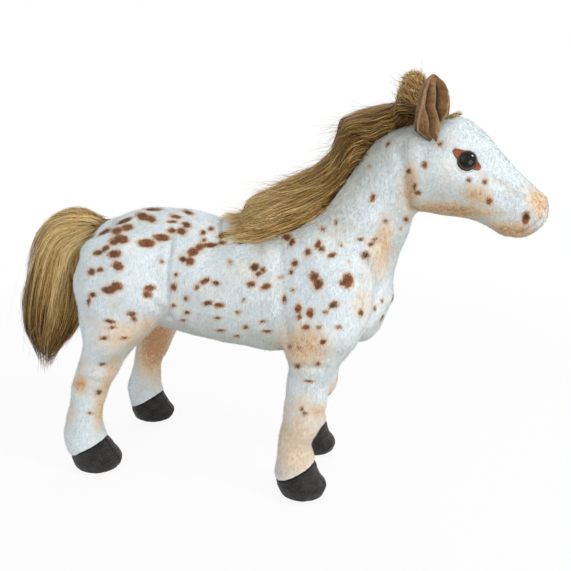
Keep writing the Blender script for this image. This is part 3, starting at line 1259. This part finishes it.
def strandPiece(name, paths, outward, tones, width, material, replaced, seed):
    dice = np.random.default_rng(seed)
    count, knots = paths.shape[:2]
    along = unit(np.gradient(paths, axis=1))
    side = unit(np.cross(along, outward))
    face = unit(np.cross(side, along))
    roll = dice.normal(size=count)[:, None, None] * strandCut['roll']
    cosine, sine = np.cos(roll), np.sin(roll)
    side, face = unit(side * cosine + face * sine), unit(face * cosine - side * sine)
    share = np.linspace(0, 1, knots)
    loss, late = strandCut['taper']
    half = (width * (1 - loss * share ** late) / 2)[None, :, None]
    half = half * dice.uniform(*strandCut['widths'], count)[:, None, None]
    verts = np.stack([paths - side * half, paths + side * half], 2).reshape(-1, 3)
    first = np.arange(count)[:, None] * 2 * knots + np.arange(knots - 1) * 2
    faces = np.stack([first, first + 1, first + 3, first + 2], -1).reshape(-1, 4)
    piece = newPiece(name, verts, faces, material, replaced)
    setFloats(piece, tone=np.repeat(tones, 2 * knots), along=np.tile(np.repeat(share, 2), count))
    own, under = strandCut['shading']
    normals = unit(face * own + unit(outward) * under)
    setNormals(piece, np.repeat(normals.reshape(-1, 3), 2, 0))
    gridUv(piece, count, np.stack([np.tile([0.15, 0.85], knots), np.repeat(0.04 + 0.92 * share, 2)], -1))
    return piece


def lockStrands(guides, outward, perLock, spread, gather, tones, toneSpread, stray, seed):
    # fills each lock round its guide, drawn in towards the tip, with a few stray strands
    dice = np.random.default_rng(seed)
    locks, knots = guides.shape[:2]
    along = unit(np.gradient(guides, axis=1))
    side = unit(np.cross(along, outward))
    share = np.linspace(0, 1, knots)[None, None, :, None]
    each = (locks, perLock, 1, 1)
    offset = dice.normal(size=each) * spread
    lift = dice.normal(size=each) * spread * strandCut['lift']
    loose = (dice.uniform(size=each) < stray) * 1.0
    pinch = 1 - gather * share ** 1.5 + loose * share ** 2 * dice.uniform(*strandCut['looser'], each)
    wave = np.sin(share * dice.uniform(*strandCut['waves'], each) + dice.uniform(0, 6, each))
    paths = (guides[:, None] + side[:, None] * (offset * pinch + wave * spread * strandCut['wave'])
             + outward[:, None] * (lift * pinch + loose * share ** 2 * spread * strandCut['strayLift']))
    reach = np.linalg.norm(guides[:, -1] - guides[:, 0], axis=-1)[:, None, None, None]
    slip = dice.uniform(-strandCut['slip'], strandCut['slip'], each) * reach
    paths = paths + along[:, None] * slip * share
    strandTones = np.clip(tones[:, None] + dice.normal(size=(locks, perLock)) * toneSpread, 0, 1)
    outwards = np.repeat(outward[:, None], perLock, 1)
    return paths.reshape(-1, knots, 3), outwards.reshape(-1, knots, 3), strandTones.ravel()


maneCut = {
    'locks': 800, 'perLock': 20, 'knots': 10,     # locks, strands in each and points in a strand
    'length': (24, 44), 'width': 0.25,            # of a strand, in mm
    'spread': 1.8, 'gather': 0.22,                # a lock's spread in mm, and how far its tip draws in
    'stray': 0.05, 'toneSpread': 0.27,            # share of stray strands, and how tones differ
    'low': 0.5,                                   # mm of the lowest strands over the skin
    'crest': 0.8,                                 # share of the patch over which the hair rises
    'layers': (0.42, 1.4),                        # how far down the locks lie one under another
    'dive': 0.8,                                  # how steeply a strand may come down
    'tipLift': 0.9,                               # mm that the tips stand off, on average
    'ends': (207, 252),                           # columns between which the longest locks end
    # columns where the upper locks end, how far before one they start, and which locks are upper ones
    'steps': [351, 337, 321, 277, 256], 'stepGap': 22, 'upper': (0.55, 5),
    'edgeLength': 0.65,                           # how short locks are at the edge of the patch
    'comesOut': (378, 396),                       # columns over which roots rise to their full height
    'shortest': 9, 'longest': 50,                 # mm
    'start': (0.4, 250),                          # locks start this far inside the patch, past this column
    # where they start more densely: by how much more, and from where to where, in mm inside or by column
    'denserInside': [(0.8, 6, 16), (1.2, 5, 1)], 'denserColumn': [(1.4, 345, 385), (1.6, 384, 402)],
    # the top of the mane in the photograph, by pixel
    'skyline': [
        (222, 222), (230, 218), (242, 213), (254, 205), (257, 196), (266, 193), (278, 187), (307, 172),
        (323, 165), (331, 157), (338, 148), (345, 134), (351, 122), (356, 115), (367, 110), (387, 107),
        (402, 104), (425, 104),
    ],
    # the strands' slope in degrees, by column
    'slopeAt': [200, 240, 270, 300, 320, 345, 370, 400, 430], 'slope': [6, 10, 17, 27, 36, 46, 38, 22, 12],
    'dense': 0.6,                                 # share of the height that is dense
    'pollFrom': 376,                              # the column from which short hair covers the ground
}


def maneSlope(column):
    return np.radians(np.interp(column, maneCut['slopeAt'], maneCut['slope']))


def maneCrest():
    # by column: how high the hair stands over the crest of the neck, and how wide its patch is there, in mm
    columns = np.arange(222, 428, 4.0)
    heights, reaches = [], []
    for column in columns:
        top = np.interp(column, *zip(*maneCut['skyline']))
        row = top
        while row < 260 and skin.hit(column, row) is None:
            row += 0.5
        heights.append(max(row - top, 2.0) * neckPixel)
        reaches.append(farFromLine(flat([(column, row)]), flat(maneEdge))[0] * neckPixel)
    return columns, np.array(heights), np.array(reaches)


crestOfMane = maneCrest()


def maneCover(deep, column):
    # how high the hair stands over the skin
    columns, heights, reaches = crestOfMane
    full = np.interp(column, columns, reaches) * maneCut['crest']
    return np.interp(column, columns, heights) * smoothStep(deep, -1.0, full)


def maneGround():
    # the dense foot of the pile, which shows between the locks; gives its places behind the ears
    column = nearColumn(skin.points)
    cover = maneCover(mane, column) * maneCut['dense']
    waves = softWaves(skin.points, 5, 31) * 0.4 * smoothStep(cover, 0.5, 4)
    raised = skin.points + skin.normals * (cover + waves - 0.4)[:, None]
    faces = skin.faces[(mane[skin.faces].min(1) > 0.3) & (column[skin.faces].min(1) > maneEnd[1])]
    withers = (neckShare(raised[faces]) < joints['neckReach']).any(1)
    for name, chosen, number in (('crest_mane_ground', ~withers, 2), ('wither_mane_ground', withers, 1)):
        piece, used = cutPiece(name, raised, faces[chosen], maneHair)
        tone = 0.27 + 0.04 * softWaves(raised[used], 3, 32)
        setFloats(piece, tone=tone, along=np.full(len(tone), groundAlong))
        bend(piece, number)
    picks = np.unique(faces[column[faces].min(1) > maneCut['pollFrom']])
    return raised[picks], skin.normals[picks]


def growMane():
    dice = np.random.default_rng(5)
    corners, centres = skin.points[skin.faces], skin.middles()
    area = np.linalg.norm(np.cross(corners[:, 2] - corners[:, 0], corners[:, 3] - corners[:, 1]), axis=1)
    inside = mane[skin.faces].mean(1)
    column = nearColumn(centres)
    weight = area * (inside > maneCut['start'][0]) * (column > maneCut['start'][1])
    denser = 1
    for where, rows in ((inside, maneCut['denserInside']), (column, maneCut['denserColumn'])):
        for more, low, high in rows:
            denser = denser + more * smoothStep(where, low, high)
    weight *= denser
    picks = dice.choice(len(centres), maneCut['locks'], p=weight / weight.sum())
    ground, normal = centres[picks], unit(skin.normals[skin.faces[picks]].mean(1))
    deep, column = inside[picks], column[picks]
    deepest, bias = maneCut['layers']
    layer = 1 - deepest * dice.uniform(size=len(picks)) ** bias
    slant = np.cos(maneSlope(column))
    shortened = maneCut['edgeLength'] + (1 - maneCut['edgeLength']) * smoothStep(deep, 2, 12)
    length = dice.uniform(*maneCut['length'], len(picks)) * shortened
    upper, within = maneCut['upper']
    for k in np.nonzero((layer > upper) & (deep > within))[0]:
        below = [step for step in maneCut['steps'] if step < column[k] - maneCut['stepGap']]
        if below:
            reach = (column[k] - below[0] + dice.normal() * 3.0) * neckPixel / slant[k]
            length[k] = min(reach, maneCut['longest'])
    length = np.minimum(length, (column - dice.uniform(*maneCut['ends'], len(picks))) * neckPixel / slant)
    length = np.maximum(length, maneCut['shortest'])
    tipLift = dice.exponential(maneCut['tipLift'], len(picks)) * smoothStep(deep, 6, 18)
    step = length / (maneCut['knots'] - 1)
    # locks come out of the skin, and behind the ears at their full height
    full = maneCut['low'] + maneCover(deep, column) * layer
    height = -0.5 + (full + 0.5) * smoothStep(column, *maneCut['comesOut'])
    guides, outwards = [ground + normal * height[:, None]], [normal]
    for k in range(1, maneCut['knots']):
        slope = maneSlope(nearColumn(ground))
        flow = laidFlat(np.stack([-np.cos(slope), 0 * slope, -np.sin(slope)], -1), normal)
        found = [skin.nearest(point) for point in ground + flow * step[:, None]]
        ground = np.array([place for place, _ in found])
        normal = unit(np.array([up for _, up in found]) * 0.5 + outwards[-1] * 0.5)
        share = k / (maneCut['knots'] - 1)
        wanted = maneCut['low'] + maneCover(maneMask(ground), nearColumn(ground)) * layer
        height = np.where(wanted > height, height + (wanted - height) * smoothStep(share, -0.1, 0.3),
                          np.maximum(wanted, height - maneCut['dive'] * step))
        guides.append(ground + normal * (height + tipLift * share ** 2)[:, None])
        outwards.append(normal)
    tones = 0.4 + 0.16 * smoothStep(deep, 0, 12) + dice.normal(size=len(picks)) * 0.08 \
        + 0.3 * smoothStep(-nearColumn(centres[picks]), -350, -260)
    guides, outwards = np.stack(guides, 1), np.stack(outwards, 1)
    return lockStrands(guides, outwards, maneCut['perLock'], maneCut['spread'], maneCut['gather'],
                       tones, maneCut['toneSpread'], maneCut['stray'], 6)


wispCut = {
    'count': 620, 'knots': 8, 'length': (9, 22), 'width': 0.2, 'tone': 0.62, 'toneSpread': 0.15,
    'inside': 5, 'column': 246,                # they grow this far inside the patch, past this column
    'rise': (0.15, 0.95), 'side': 0.5,         # how far the hairs stand off, and spread sideways
}


def growWisps():
    # single pale hairs that stand off the top of the mane
    dice = np.random.default_rng(27)
    inside, centres = mane[skin.faces].mean(1), skin.middles()
    column = nearColumn(centres)
    facing = unit(skin.normals[skin.faces].mean(1))
    grown = (inside > wispCut['inside']) * (column > wispCut['column'])
    weight = grown * (0.2 + np.clip(facing[:, 2], 0, 1))
    picks = dice.choice(len(centres), wispCut['count'], p=weight / weight.sum())
    roots, normal = centres[picks], facing[picks]
    slope = maneSlope(column[picks])
    flow = np.stack([-np.cos(slope), dice.normal(size=len(picks)) * wispCut['side'], -np.sin(slope)], -1)
    flow = laidFlat(flow, normal)
    roots = roots + normal * (maneCover(inside[picks], column[picks]) * 0.8)[:, None]
    rise = dice.uniform(*wispCut['rise'], len(picks))
    share = np.linspace(0, 1, wispCut['knots'])[None, :, None]
    length = dice.uniform(*wispCut['length'], len(picks))[:, None, None]
    droop = share ** 2 * dice.uniform(0.0, 0.9, (len(picks), 1, 1))
    lifted = normal[:, None] * (share * rise[:, None, None] - droop * 0.7)
    paths = roots[:, None] + (flow[:, None] * share + lifted) * length
    outward = np.repeat(normal[:, None], wispCut['knots'], 1)
    tones = wispCut['tone'] + dice.normal(size=len(picks)) * wispCut['toneSpread']
    return paths, outward, np.clip(tones, 0, 1)


def makeMane(strands, width, pieces):
    # a strand that reaches back into the neck's bend goes to the lock at the withers
    paths, outward, tones = strands
    withers = (neckShare(paths) < joints['neckReach']).any(1)
    for (name, replaced, seed), chosen, number in zip(pieces, (~withers, withers), (2, 1)):
        ours = paths[chosen], outward[chosen], tones[chosen]
        bend(strandPiece(name, *ours, width, maneHair, replaced, seed), number)


behindEars = maneGround()
makeMane(growMane(), maneCut['width'],
         [('crest_mane_hair', ['crest_mane'], 8), ('wither_mane_hair', ['wither_mane'], 9)])
makeMane(growWisps(), wispCut['width'], [('crest_mane_wisps', [], 28), ('wither_mane_wisps', [], 28)])
print('mane combed')

tailCut = {
    # rings of the fall: x, y, z, lean in degrees, half depth, half width
    'rows': [
        (-116.0, 0, 180.4, 178, 7.0, 7.0), (-126.0, 0, 179.8, 182, 12.0, 10.0),
        (-138.0, 0, 176.6, 192, 18.0, 13.0), (-150.6, 0, 169.4, 212, 23.4, 16.6),
        (-158.6, 0, 155.0, 236, 27.0, 19.0), (-164.0, 0, 138.0, 254, 28.0, 21.0),
        (-170.0, 0, 117.5, 264, 28.5, 21.6), (-176.0, 0, 100.0, 260, 24.5, 18.5),
        (-180.5, 0, 88.0, 256, 19.0, 15.0), (-183.5, 0, 76.0, 256, 12.5, 10.0),
        (-185.5, 0, 64.0, 258, 7.0, 6.0), (-187.0, 0, 52.0, 262, 3.0, 3.0),
    ],
    'locks': 560, 'perLock': 19, 'knots': 10, 'span': (0.24, 0.44), 'width': 0.33,
    'spread': 1.9, 'gather': 0.35, 'stray': 0.06, 'toneSpread': 0.24,
    # squares of how near to the outside the locks lie, and from where they count as outer ones
    'shells': (0.25, 1.0), 'outerShell': 0.7,
    # where a lock starts, and the latest place where an inner or outer one ends, as shares of the length
    'starts': (0, 0.6), 'innerEnds': (0.78, 1.0), 'outerEnds': (0.74, 0.97),
    'fanOut': 0.12,                              # how much a lock turns round the tail on its way
    'tone': (1.06, 1.75, 0.4),                   # at the root, how fast it darkens, and how that slows
    'bellyTone': 0.22, 'streakTone': 0.09,       # how much darker underneath, and how far streaks differ
    'lockTone': 0.09,                            # how far the tones of locks differ
    'core': 0.62, 'coreVoxel': 1.2,              # the root's form is a smaller one inside the strands
}


def growTail():
    dice = np.random.default_rng(15)
    rows = between(tailCut['rows'], 8)
    places = np.linspace(0, 1, len(rows))
    guides, outwards, tones = [], [], []
    for _ in range(tailCut['locks']):
        turn = dice.uniform(0, 2 * math.pi)
        shell = math.sqrt(dice.uniform(*tailCut['shells']))
        start = dice.uniform(*tailCut['starts'])
        latest = dice.uniform(*tailCut['innerEnds' if shell < tailCut['outerShell'] else 'outerEnds'])
        ending = min(start + dice.uniform(*tailCut['span']), latest)
        share = np.linspace(0, 1, tailCut['knots'])
        at = start + (ending - start) * share
        row = np.stack([np.interp(at, places, rows[:, k]) for k in range(6)], -1)
        _, upward = ringAxes(row[:, 3])
        reach = shell * (0.5 + 0.5 * smoothStep(share, 0, 0.45))
        turns = turn + dice.normal() * tailCut['fanOut'] * share
        path = row[:, :3] + upward * (row[:, 4] * reach * np.cos(turns))[:, None] \
            + yAxis * (row[:, 5] * reach * np.sin(turns))[:, None]
        guides.append(path)
        outwards.append(upward * np.cos(turns)[:, None] + yAxis * np.sin(turns)[:, None])
        belly = smoothStep(-math.cos(turn), 0.1, 0.9)
        streak = math.sin(turn * 5 + 1.3) * tailCut['streakTone']
        top, fall, rise = tailCut['tone']
        tone = top - fall * start + rise * start ** 2 - tailCut['bellyTone'] * belly
        tones.append(tone + streak + dice.normal() * tailCut['lockTone'])
    return lockStrands(np.array(guides), np.array(outwards), tailCut['perLock'], tailCut['spread'],
                       tailCut['gather'], np.array(tones), tailCut['toneSpread'], tailCut['stray'], 16)


def makeTail():
    paths, outward, tones = growTail()
    piece = strandPiece('tail_fall', paths, outward, tones, tailCut['width'], tailHair, ['tail_hair'], 17)
    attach(piece, 'tail')
    core = [(x, y, z, lean, deep * tailCut['core'], wide * tailCut['core'])
            for x, y, z, lean, deep, wide in tailCut['rows'][:-4]]
    form = voxelSkin([stuffedForm(core, 5, 10)], tailCut['coreVoxel'])
    form.measure()
    form.swell(softWaves(form.points * (1, 1, 0.35), 7, 18) * 0.7)
    tone = 0.2 + 0.1 * softWaves(form.points * (1, 1, 0.3), 5, 19)
    piece = groundPiece('tail_root', form, tailHair, tone, ['tail_dock'])
    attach(piece, 'tail')


makeTail()
print('tail combed')

tuft = {
    # rings of the form under the curls, as for the tail
    'rows': [
        (110.5, 2.7, 247.0, 90, 8.0, 9.0), (108.6, 2.7, 258.0, 90, 8.8, 10.4),
        (107.8, 2.7, 267.0, 90, 8.8, 9.8), (108.6, 2.7, 274.5, 90, 7.0, 7.6),
    ],
    'voxel': 1.1, 'count': 5200, 'knots': 7, 'length': (5, 9.5), 'width': 0.36,
    'curl': 0.7,                                 # mm that a strand winds round its line
    'lift': (2, 17), 'combed': (-0.55, 0, 1.0),  # degrees that strands stand off, and the way they lie
    'strays': 0.018, 'strayLift': 35,            # share of stray strands, and their further degrees
    'flowSpread': 0.3, 'toneSpread': 0.24,       # how far directions and tones differ
    # the forelock: strands, from where to where along the brow, how wide, how high, its way and lift
    'forelockCount': 620, 'forelock': (121, 132), 'forelockWide': 6.0, 'forelockHeight': 266,
    'forelockFlow': (0.9, -0.15, -0.1), 'forelockLift': 16,
    'pollCount': 2600, 'pollFlow': (-0.9, 0, -0.35),    # short hair behind the ears
}


def makeTuft():
    dice = np.random.default_rng(25)
    form = voxelSkin([stuffedForm(tuft['rows'], 4, 6)], tuft['voxel'])
    form.measure()
    picks = dice.choice(len(form.points), tuft['count'])
    roots, normals = form.points[picks], form.normals[picks]
    # a short forelock lies on the brow in front of the ears
    brow = [skin.nearest((dice.uniform(*tuft['forelock']), dice.normal() * tuft['forelockWide'],
                          tuft['forelockHeight'])) for _ in range(tuft['forelockCount'])]
    roots = np.vstack([roots, [found[0] for found in brow]])
    normals = np.vstack([normals, [found[1] for found in brow]])
    # short hair lies over the ground of the mane behind the ears
    picks = dice.choice(len(behindEars[0]), tuft['pollCount'])
    roots, normals = np.vstack([roots, behindEars[0][picks]]), np.vstack([normals, behindEars[1][picks]])
    count = len(roots)
    rear = np.arange(count) >= count - tuft['pollCount']
    forward = (np.arange(count) >= tuft['count']) & ~rear
    stray = (dice.uniform(size=count) < tuft['strays']) & ~forward & ~rear
    length = dice.uniform(*tuft['length'], count) * np.where(forward, 0.75, np.where(stray, 1.3, 1.0))
    flow = np.where(forward[:, None], np.array(tuft['forelockFlow']), np.array(tuft['combed']))
    flow[rear] = tuft['pollFlow']
    flow = laidFlat(flow + dice.normal(size=(count, 3)) * tuft['flowSpread'], normals)
    more = np.where(stray, tuft['strayLift'], np.where(forward, tuft['forelockLift'], 0))
    lift = np.radians(dice.uniform(*tuft['lift'], count) + more)[:, None]
    aim = flow * np.cos(lift) + normals * np.sin(lift)
    side = unit(np.cross(aim, normals))
    third = np.cross(side, aim)
    share = np.linspace(0, 1, tuft['knots'])[None, :, None]
    phase = dice.uniform(0, 6.28, (count, 1, 1))
    turned = phase + dice.uniform(3, 7, (count, 1, 1)) * share
    curl = tuft['curl'] * smoothStep(share, 0, 0.4) * np.where(forward, 0.6, 1.0)[:, None, None]
    # the strands bend with the form they lie on
    sink = normals[:, None] * (share ** 2 * np.where(stray, 0.3, np.where(forward, 0.8, 1.6))[:, None, None])
    paths = (roots[:, None] + aim[:, None] * length[:, None, None] * share - sink
             + side[:, None] * np.cos(turned) * curl + third[:, None] * np.sin(turned) * curl)
    outward = np.repeat(normals[:, None], tuft['knots'], 1)
    paler = np.where(forward, 0.16, np.where(rear, -0.14, 0.0))
    tones = 0.52 + 0.16 * smoothStep(roots[:, 2], 258, 280) + paler
    tones = np.clip(tones + dice.normal(size=count) * tuft['toneSpread'], 0, 1)
    piece = strandPiece('poll_tuft_hair', paths, outward, tones, tuft['width'], maneHair, ['poll_tuft'], 26)
    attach(piece, 'head')
    core = groundPiece('poll_tuft_ground', form, maneHair, 0.22 + 0.08 * softWaves(form.points, 4, 27))
    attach(core, 'head')


makeTuft()
print('tuft curled')

# the wire frame and washers inside keep their solids and get their finish

insideFinish = {'wire': steel, 'crossbar': steel, 'washer': washerPlastic}
for name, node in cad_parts.items():
    for word, material in insideFinish.items():
        if word in name:
            node.data.materials.clear()
            node.data.materials.append(material)
print('inner frame finished')

# floor, light and background

studio = {
    'ambient': 0.54,                   # strength of the light from all round
    # the floor in metres: how far it is whitened near the horse, where it turns all white, its half size
    'floorShow': 0.9, 'fadeFrom': 0.35, 'fadeTo': 0.9, 'floorHalf': 6,
    'aim': (0, 0, 0.14),               # where the lamps point, in metres
    # each lamp: place in metres, diameter in metres, watts
    'lamps': [((1.05, -0.215, 1.14), 0.28, 7.0), ((-0.25, -0.95, 0.95), 0.9, 1.9),
              ((1.0, -0.95, 0.3), 0.8, 5.0), ((0.0, 0.8, 1.0), 0.9, 2.4)],
}


def makeStudio():
    world = bpy.data.worlds.new('studio')
    bpy.context.scene.world = world
    world.use_nodes = True
    shade = Sock(world.node_tree)
    path = {name: shade.node('ShaderNodeLightPath', out=name) for name in
            ('Is Camera Ray', 'Is Glossy Ray', 'Is Transmission Ray')}
    seen = path['Is Camera Ray'] + path['Is Glossy Ray'] + path['Is Transmission Ray']
    seen = shade.node('ShaderNodeMath', {'operation': 'MINIMUM'}, {0: seen, 1: 1.0})
    strength = seen * (1 - studio['ambient']) + studio['ambient']
    backdrop = world.node_tree.nodes['Background']
    world.node_tree.links.new(strength.socket, backdrop.inputs['Strength'])
    backdrop.inputs['Color'].default_value = (1, 1, 1, 1)
    for place, size, power in studio['lamps']:
        data = bpy.data.lights.new('soft lamp', 'AREA')
        data.shape, data.size, data.energy = 'DISK', size, power
        lamp = addObject('soft lamp', data)
        lamp.location = place
        lamp.rotation_euler = (Vector(studio['aim']) - lamp.location).to_track_quat('-Z', 'Y').to_euler()
    material, shade, surface = newMaterial('pale floor', {
        'Base Color': (0.86, 0.86, 0.86, 1), 'Roughness': 0.9})
    glow = shade.node('ShaderNodeEmission', None, {'Color': (1, 1, 1, 1), 'Strength': 1.0})
    away = shade.node('ShaderNodeVectorMath', {'operation': 'LENGTH'}, {0: shade.place(1.0)}, out='Value')
    share = shade.node('ShaderNodeLightPath', out='Is Camera Ray') \
        * away.soft(studio['fadeFrom'], studio['fadeTo'], studio['floorShow'], 1.0)
    both = shade.node('ShaderNodeMixShader', None,
                      {0: share, 1: Sock(material.node_tree, surface.outputs[0]), 2: glow})
    material.node_tree.links.new(both.socket, material.node_tree.nodes['Material Output'].inputs['Surface'])
    half = studio['floorHalf']
    corners = [(-half, -half, 0), (half, -half, 0), (half, half, 0), (-half, half, 0)]
    mesh = bpy.data.meshes.new('floor')
    mesh.from_pydata(corners, [], [(0, 1, 2, 3)])
    mesh.materials.append(material)
    addObject('floor', mesh)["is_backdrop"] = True
    bpy.context.scene.view_settings.view_transform = 'Standard'


makeStudio()
print('studio lit')

for box in (cadBox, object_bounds()):
    str([[round(float(v), 5) for v in corner] for corner in box]) + '\n'
